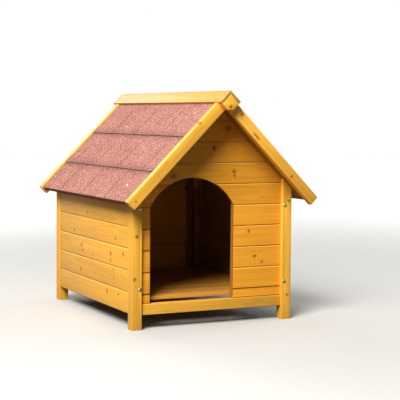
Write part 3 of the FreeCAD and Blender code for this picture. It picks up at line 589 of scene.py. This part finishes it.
def make_roof_timber():
    for side in ("left", "right"):
        timber(f"roof_boards_{side}", Y, OUT[side], ROOF_PAINTED_SHADE)
        timber(f"ridge_board_{side}", Y, OUT[side], RIDGE_PAINTED_SHEEN)
        for end in ("front", "rear"):
            timber(f"bargeboard_{end}_{side}", DOWN[side], Y, PLANED)
    for end in ("front", "rear"):
        timber(f"ridge_block_{end}", X, Y, PLANED)
    timber("roof_rafters", X, Y, INNER_PAINTED_SHADE)


# ---------------------------------------------------------------- geometry trees
def new_geometry_tree(name, *inputs):
    """Geometry node tree that takes and gives a mesh, with its other inputs (name, type, default)."""
    mesh = ("Geometry", "Geometry")
    return new_group(name, [(*mesh, None), *inputs], [mesh], "GeometryNodeTree")


def dress(tree, shape, material, out):
    """End of a geometry tree: its instances made real, in their material."""
    solid = add(tree, "GeometryNodeRealizeInstances", {"Geometry": shape})
    dressed = add(tree, "GeometryNodeSetMaterial", {"Geometry": solid.outputs[0], "Material": material})
    tree.links.new(dressed.outputs[0], out["Geometry"])


def run_nodes(piece, tree, **sockets):
    """Evaluate a geometry node tree on a piece and keep the result as a plain mesh."""
    modifier = piece.modifiers.new(tree.name, "NODES")
    modifier.node_group = tree
    wanted = {title.replace("_", " ").title(): given for title, given in sockets.items()}
    for item in tree.interface.items_tree:
        if item.item_type == "SOCKET" and item.in_out == "INPUT" and item.name in wanted:
            modifier[item.identifier] = wanted[item.name]
    bpy.context.view_layer.update()
    depsgraph = bpy.context.evaluated_depsgraph_get()
    mesh = bpy.data.meshes.new_from_object(piece.evaluated_get(depsgraph), depsgraph=depsgraph)
    piece.modifiers.clear()
    piece.data = mesh


# ---------------------------------------------------------------- felt
def granule_scatter():
    """Proud granules on the felt, thick on its cut edges, as one mesh with it."""
    smallest, largest = (0.5, 0.4, 0.3), (1.2, 1.0, 0.8)   # length, breadth and height in radii
    any_turn = (6.3, 6.3, 6.3)
    tree, given, out = new_geometry_tree(
        "Granule Scatter", ("Stone Radius", "Float", STONE), ("Density", "Float", STONES),
        ("Edge Density", "Float", EDGE_STONES), ("Seed", "Int", 1), ("Stone Material", "Material", None))
    on_edge = add(tree, "GeometryNodeInputNamedAttribute", {"Name": "cut_edge"}, data_type="FLOAT")
    density = add(tree, "ShaderNodeMix", {0: on_edge.outputs["Attribute"], 2: given["Density"],
                                          3: given["Edge Density"]}, data_type="FLOAT")
    spots = add(tree, "GeometryNodeDistributePointsOnFaces",
                {"Mesh": given["Geometry"], "Density": density.outputs[0], "Seed": given["Seed"]})
    stone = add(tree, "GeometryNodeMeshIcoSphere", {"Radius": given["Stone Radius"], "Subdivisions": 1})
    turn = add(tree, "FunctionNodeRandomValue", {"Max": any_turn, "Seed": given["Seed"]},
               data_type="FLOAT_VECTOR")
    size = add(tree, "FunctionNodeRandomValue",
               {"Min": smallest, "Max": largest, "Seed": given["Seed"]}, data_type="FLOAT_VECTOR")
    stones = add(tree, "GeometryNodeInstanceOnPoints",
                 {"Points": spots.outputs["Points"], "Instance": stone.outputs["Mesh"],
                  "Rotation": turn.outputs["Value"], "Scale": size.outputs["Value"]})
    joined = add(tree, "GeometryNodeJoinGeometry")
    tree.links.new(stones.outputs[0], joined.inputs[0])
    tree.links.new(given["Geometry"], joined.inputs[0])
    dress(tree, joined.outputs[0], given["Stone Material"], out)
    return tree


def reach_of(node, down):
    """How far down the slope a node goes."""
    return max(vertex.co.dot(down) for vertex in frame["nodes"][node].data.vertices)


def cut(shape, normal, at):
    """Cut through a mesh, square to a direction."""
    bmesh.ops.bisect_plane(shape, geom=shape.verts[:] + shape.edges[:] + shape.faces[:], dist=ON_PLANE,
                           plane_co=normal * at, plane_no=normal)


def cut_across(shape, normal, low, high, spacing):
    """Parallel cuts between two places."""
    for step in range(1, int((high - low) / spacing)):
        cut(shape, normal, low + step * spacing)


def mark_bitumen_and_shade(shape, side, lowest, lap, eave):
    """Bitumen shows on the edges and the underside; the same dark colour is painted as shadow in a band
    below a lap and, at half strength, as shade on the eave's hem.
    """
    down, out = DOWN[side], OUT[side]
    under_bend = max(vertex.co.dot(out) for vertex in shape.verts) - FELT_BEND
    bitumen = shape.faces.layers.float.new("bitumen")
    cut_edge = shape.faces.layers.float.new("cut_edge")
    shape.normal_update()
    for face in shape.faces:
        middle = face.calc_center_median()
        lower_edge = face.normal.dot(down) > 0.8 and middle.dot(down) > lowest - 10 * TOUCH
        turned_down = eave and face.normal.dot(down) > 0.3 and middle.dot(out) < under_bend
        face[cut_edge] = float(lower_edge)
        # the band below a lap is painted shadow in the colour of bitumen
        face[bitumen] = float(lower_edge or abs(face.normal.y) > 0.9 or face.normal.z < -0.6
                              or abs(middle.dot(down) - lap) < LAP_SHADOW)
        # painted shade on the turned-down hem of the eave
        if turned_down:
            face[bitumen] = 0.5


def ruffle(shape, side, lowest, lap, eave, seed):
    """Let the felt ripple on its boards, and make its lower edge and the painted shadow below a lap
    ragged.
    """
    down, out = DOWN[side], OUT[side]
    for vertex in shape.verts:
        reach = vertex.co.dot(down)
        wander = ripple.noise(Vector((vertex.co.y * RAGGED_WAVES, seed, 0)))
        lift = 0.5 + 0.5 * ripple.noise(vertex.co * Vector(RIPPLES))
        vertex.co += out * FELT_RIPPLE * lift
        if abs(reach - lap - LAP_SHADOW) < TOUCH:
            vertex.co += down * RAGGED * wander
        if reach > lowest - TOUCH and not eave:
            vertex.co -= down * RAGGED * (0.5 + 0.5 * wander)


def felt_course(node, side, above, tree, seed):
    """Course of felt under the course above, which laps it, with loose granules."""
    shape = merged_copy(node)
    low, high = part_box(node)
    down = DOWN[side]
    lowest = reach_of(node, down)
    cut_across(shape, Y, low.y, high.y, FELT_STEP)
    cut_across(shape, down, min(vertex.co.dot(down) for vertex in shape.verts), lowest, 4 * FELT_STEP)
    lap = reach_of(above, down) if above else NOWHERE
    if above:
        # cuts that bound the painted shadow below the lap
        cut(shape, down, lap - LAP_SHADOW)
        cut(shape, down, lap + LAP_SHADOW)
    eave = node.startswith("felt_eave")
    mark_bitumen_and_shade(shape, side, lowest, lap, eave)
    ruffle(shape, side, lowest, lap, eave, seed)
    piece = to_object(shape, f"{node}_granules", FELT)
    run_nodes(piece, tree, seed=seed, stone_material=FELT)
    stand_for(piece, node)


def make_felt():
    tree = granule_scatter()
    seed = 0
    for side in ("left", "right"):
        above = None
        for course in ("top", "middle", "eave"):
            seed += 1
            node = f"felt_{course}_{side}"
            felt_course(node, side, above, tree, seed)
            above = node


# ---------------------------------------------------------------- nails and bolts
def nail_tree():
    """Flat nail heads on points, each square to the face it is driven in."""
    flat_top, height = 0.72, 0.28              # in radii of the head
    tree, given, out = new_geometry_tree("Nail Heads", ("Head Radius", "Float", NAIL_HEAD),
                                         ("Head Material", "Material", None))
    facing = add(tree, "GeometryNodeInputNamedAttribute", {"Name": "facing"}, data_type="FLOAT_VECTOR")
    turned = add(tree, "FunctionNodeAlignRotationToVector", {"Vector": facing.outputs["Attribute"]},
                 axis="Z")
    head = add(tree, "GeometryNodeMeshCone", {
        "Vertices": 20, "Fill Segments": 2, "Radius Bottom": given["Head Radius"],
        "Radius Top": calc(tree, "MULTIPLY", given["Head Radius"], flat_top),
        "Depth": calc(tree, "MULTIPLY", given["Head Radius"], height)})
    points = add(tree, "GeometryNodeMeshToPoints", {"Mesh": given["Geometry"]})
    heads = add(tree, "GeometryNodeInstanceOnPoints",
                {"Points": points.outputs[0], "Instance": head.outputs["Mesh"],
                 "Rotation": turned.outputs[0]})
    dress(tree, heads.outputs[0], given["Head Material"], out)
    return tree


def drive_nails(name, tree, places, radius):
    """Nail heads at (place, outward direction) pairs on the roof."""
    shape = bmesh.new()
    facing = shape.verts.layers.float_vector.new("facing")
    for place, out in places:
        vertex = shape.verts.new(place)
        vertex[facing] = out
    piece = to_object(shape, name, NAIL_ZINC)
    run_nodes(piece, tree, head_radius=radius, head_material=NAIL_ZINC)
    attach(piece, "roof")


def on_slope(side, x, y, height):
    """Point on a roof side, a height above the undersides of its boards."""
    sign = -1 if side == "left" else 1
    return Vector((sign * x, y, ROOF_APEX - x)) + OUT[side] * height


def make_nails():
    tree = nail_tree()
    for name, nails, height, head in (("felt_clouts", CLOUTS, FELT_FACE, NAIL_HEAD),
                                      ("ridge_nails", RIDGE_NAILS, RIDGE_FACE, RIDGE_NAIL_HEAD)):
        places = [(on_slope(side, x, y, height), OUT[side])
                  for side in ("left", "right") for x, y in nails]
        drive_nails(name, tree, places, head)


def make_bolts():
    bolts = frame["nodes"]["frame_bolts"]
    for place in bolts.material_slots:
        place.material = ZINC


# ---------------------------------------------------------------- stage, light and camera
FLOOR_RADIUS = 14
FLOOR_PALE, FLOOR_WORN = (0.62, 0.62, 0.61, 1), (0.54, 0.54, 0.53, 1)
FLOOR_DULL = (0.09, 0.09, 0.08, 1)  # throws little light back up at the house
FLOOR_FADE = (1.2, 5.5)           # distances between which the floor fades into the white
FLOOR_GLOW = 0.9                  # how far it fades
AIM = Vector((0, 0, 0.35))        # what the lamps point at
WARM, WHITE = (1.0, 0.97, 0.92), (1, 1, 1)
LAMPS = [                         # name, place, size, power, colour
    ("key", (-3.0, -2.75, 3.9), 2.7, 470, WARM),
    ("top", (0.2, 0.4, 4.6), 2.6, 20, WHITE),
    ("right fill", (4.2, 0.6, 2.0), 2.4, 60, WHITE),
    ("rear fill", (-0.6, 4.4, 2.4), 2.4, 90, WHITE),
]
SKY = 0.12                        # strength of the light from all round
CAMERA_PLACE = Vector((-1.4885, -3.22505, 0.5878))
YAW, PITCH, ROLL = (math.radians(angle) for angle in (26.21, 4.10, 0.49))
LENS = 105.92


def make_stage():
    """Round pale floor that fades into the white of the world."""
    shape = bmesh.new()
    bmesh.ops.create_circle(shape, cap_ends=True, segments=96, radius=FLOOR_RADIUS)
    material, tree, shader, grime = new_material("Pale floor", GRIME, amount=0.03, size=0.8)
    pale = blend_colour(tree, grime["Mask"], FLOOR_PALE, FLOOR_WORN)
    seen = add(tree, "ShaderNodeLightPath").outputs
    shown = calc(tree, "MAXIMUM", seen["Is Camera Ray"],
                 calc(tree, "MAXIMUM", seen["Is Glossy Ray"], seen["Is Transmission Ray"]))
    tree.links.new(blend_colour(tree, shown, FLOOR_DULL, pale), shader["Base Color"])
    away = vector_calc(tree, "LENGTH", add(tree, "ShaderNodeTexCoord").outputs["Object"])
    glow = calc(tree, "MULTIPLY", shown, spread(tree, away, *FLOOR_FADE, 0.0, FLOOR_GLOW))
    tree.links.new(grey(tree, glow), shader["Emission Color"])
    shader["Emission Strength"].default_value = 1.0
    shader["Roughness"].default_value = 0.9
    to_object(shape, "studio_floor", material)


def area_light(name, place, size, power, colour):
    lamp = bpy.data.lights.new(name, "AREA")
    lamp.shape = "DISK"
    lamp.size = size
    lamp.energy = power
    lamp.color = colour
    lit = bpy.data.objects.new(name, lamp)
    lit.location = place
    lit.rotation_euler = (Vector(place) - AIM).to_track_quat("Z", "Y").to_euler()
    bpy.context.scene.collection.objects.link(lit)


def make_light():
    for lamp in LAMPS:
        area_light(*lamp)
    world = bpy.data.worlds.new("studio")
    world.use_nodes = True
    tree = world.node_tree
    tree.nodes.clear()
    seen = add(tree, "ShaderNodeLightPath").outputs["Is Camera Ray"]
    soft = add(tree, "ShaderNodeBackground", {"Color": (1, 1, 1, 1), "Strength": SKY})
    white = add(tree, "ShaderNodeBackground", {"Color": (1, 1, 1, 1), "Strength": 1.0})
    both = add(tree, "ShaderNodeMixShader", {0: seen, 1: soft.outputs[0], 2: white.outputs[0]})
    add(tree, "ShaderNodeOutputWorld", {"Surface": both.outputs[0]})
    bpy.context.scene.world = world
    bpy.context.scene.view_settings.view_transform = "Standard"


def make_camera():
    """Camera at the photograph's viewing angle."""
    forward = Vector((math.sin(YAW) * math.cos(PITCH), math.cos(YAW) * math.cos(PITCH), -math.sin(PITCH)))
    right = Vector((math.cos(YAW), -math.sin(YAW), 0))
    up = right.cross(forward)
    level_right, level_up = right, up
    right = math.cos(ROLL) * level_right + math.sin(ROLL) * level_up
    up = math.cos(ROLL) * level_up - math.sin(ROLL) * level_right
    lens = bpy.data.cameras.new("camera")
    lens.lens = LENS
    lens.sensor_width = 36
    lens.clip_end = 50
    camera = bpy.data.objects.new("camera", lens)
    turn = Matrix((right, up, -forward)).transposed()
    camera.matrix_world = Matrix.Translation(CAMERA_PLACE) @ turn.to_4x4()
    bpy.context.scene.collection.objects.link(camera)
    bpy.context.scene.camera = camera


make_walls()
make_floor()
make_roof_timber()
make_felt()
make_nails()
make_bolts()
make_stage()
make_light()
make_camera()
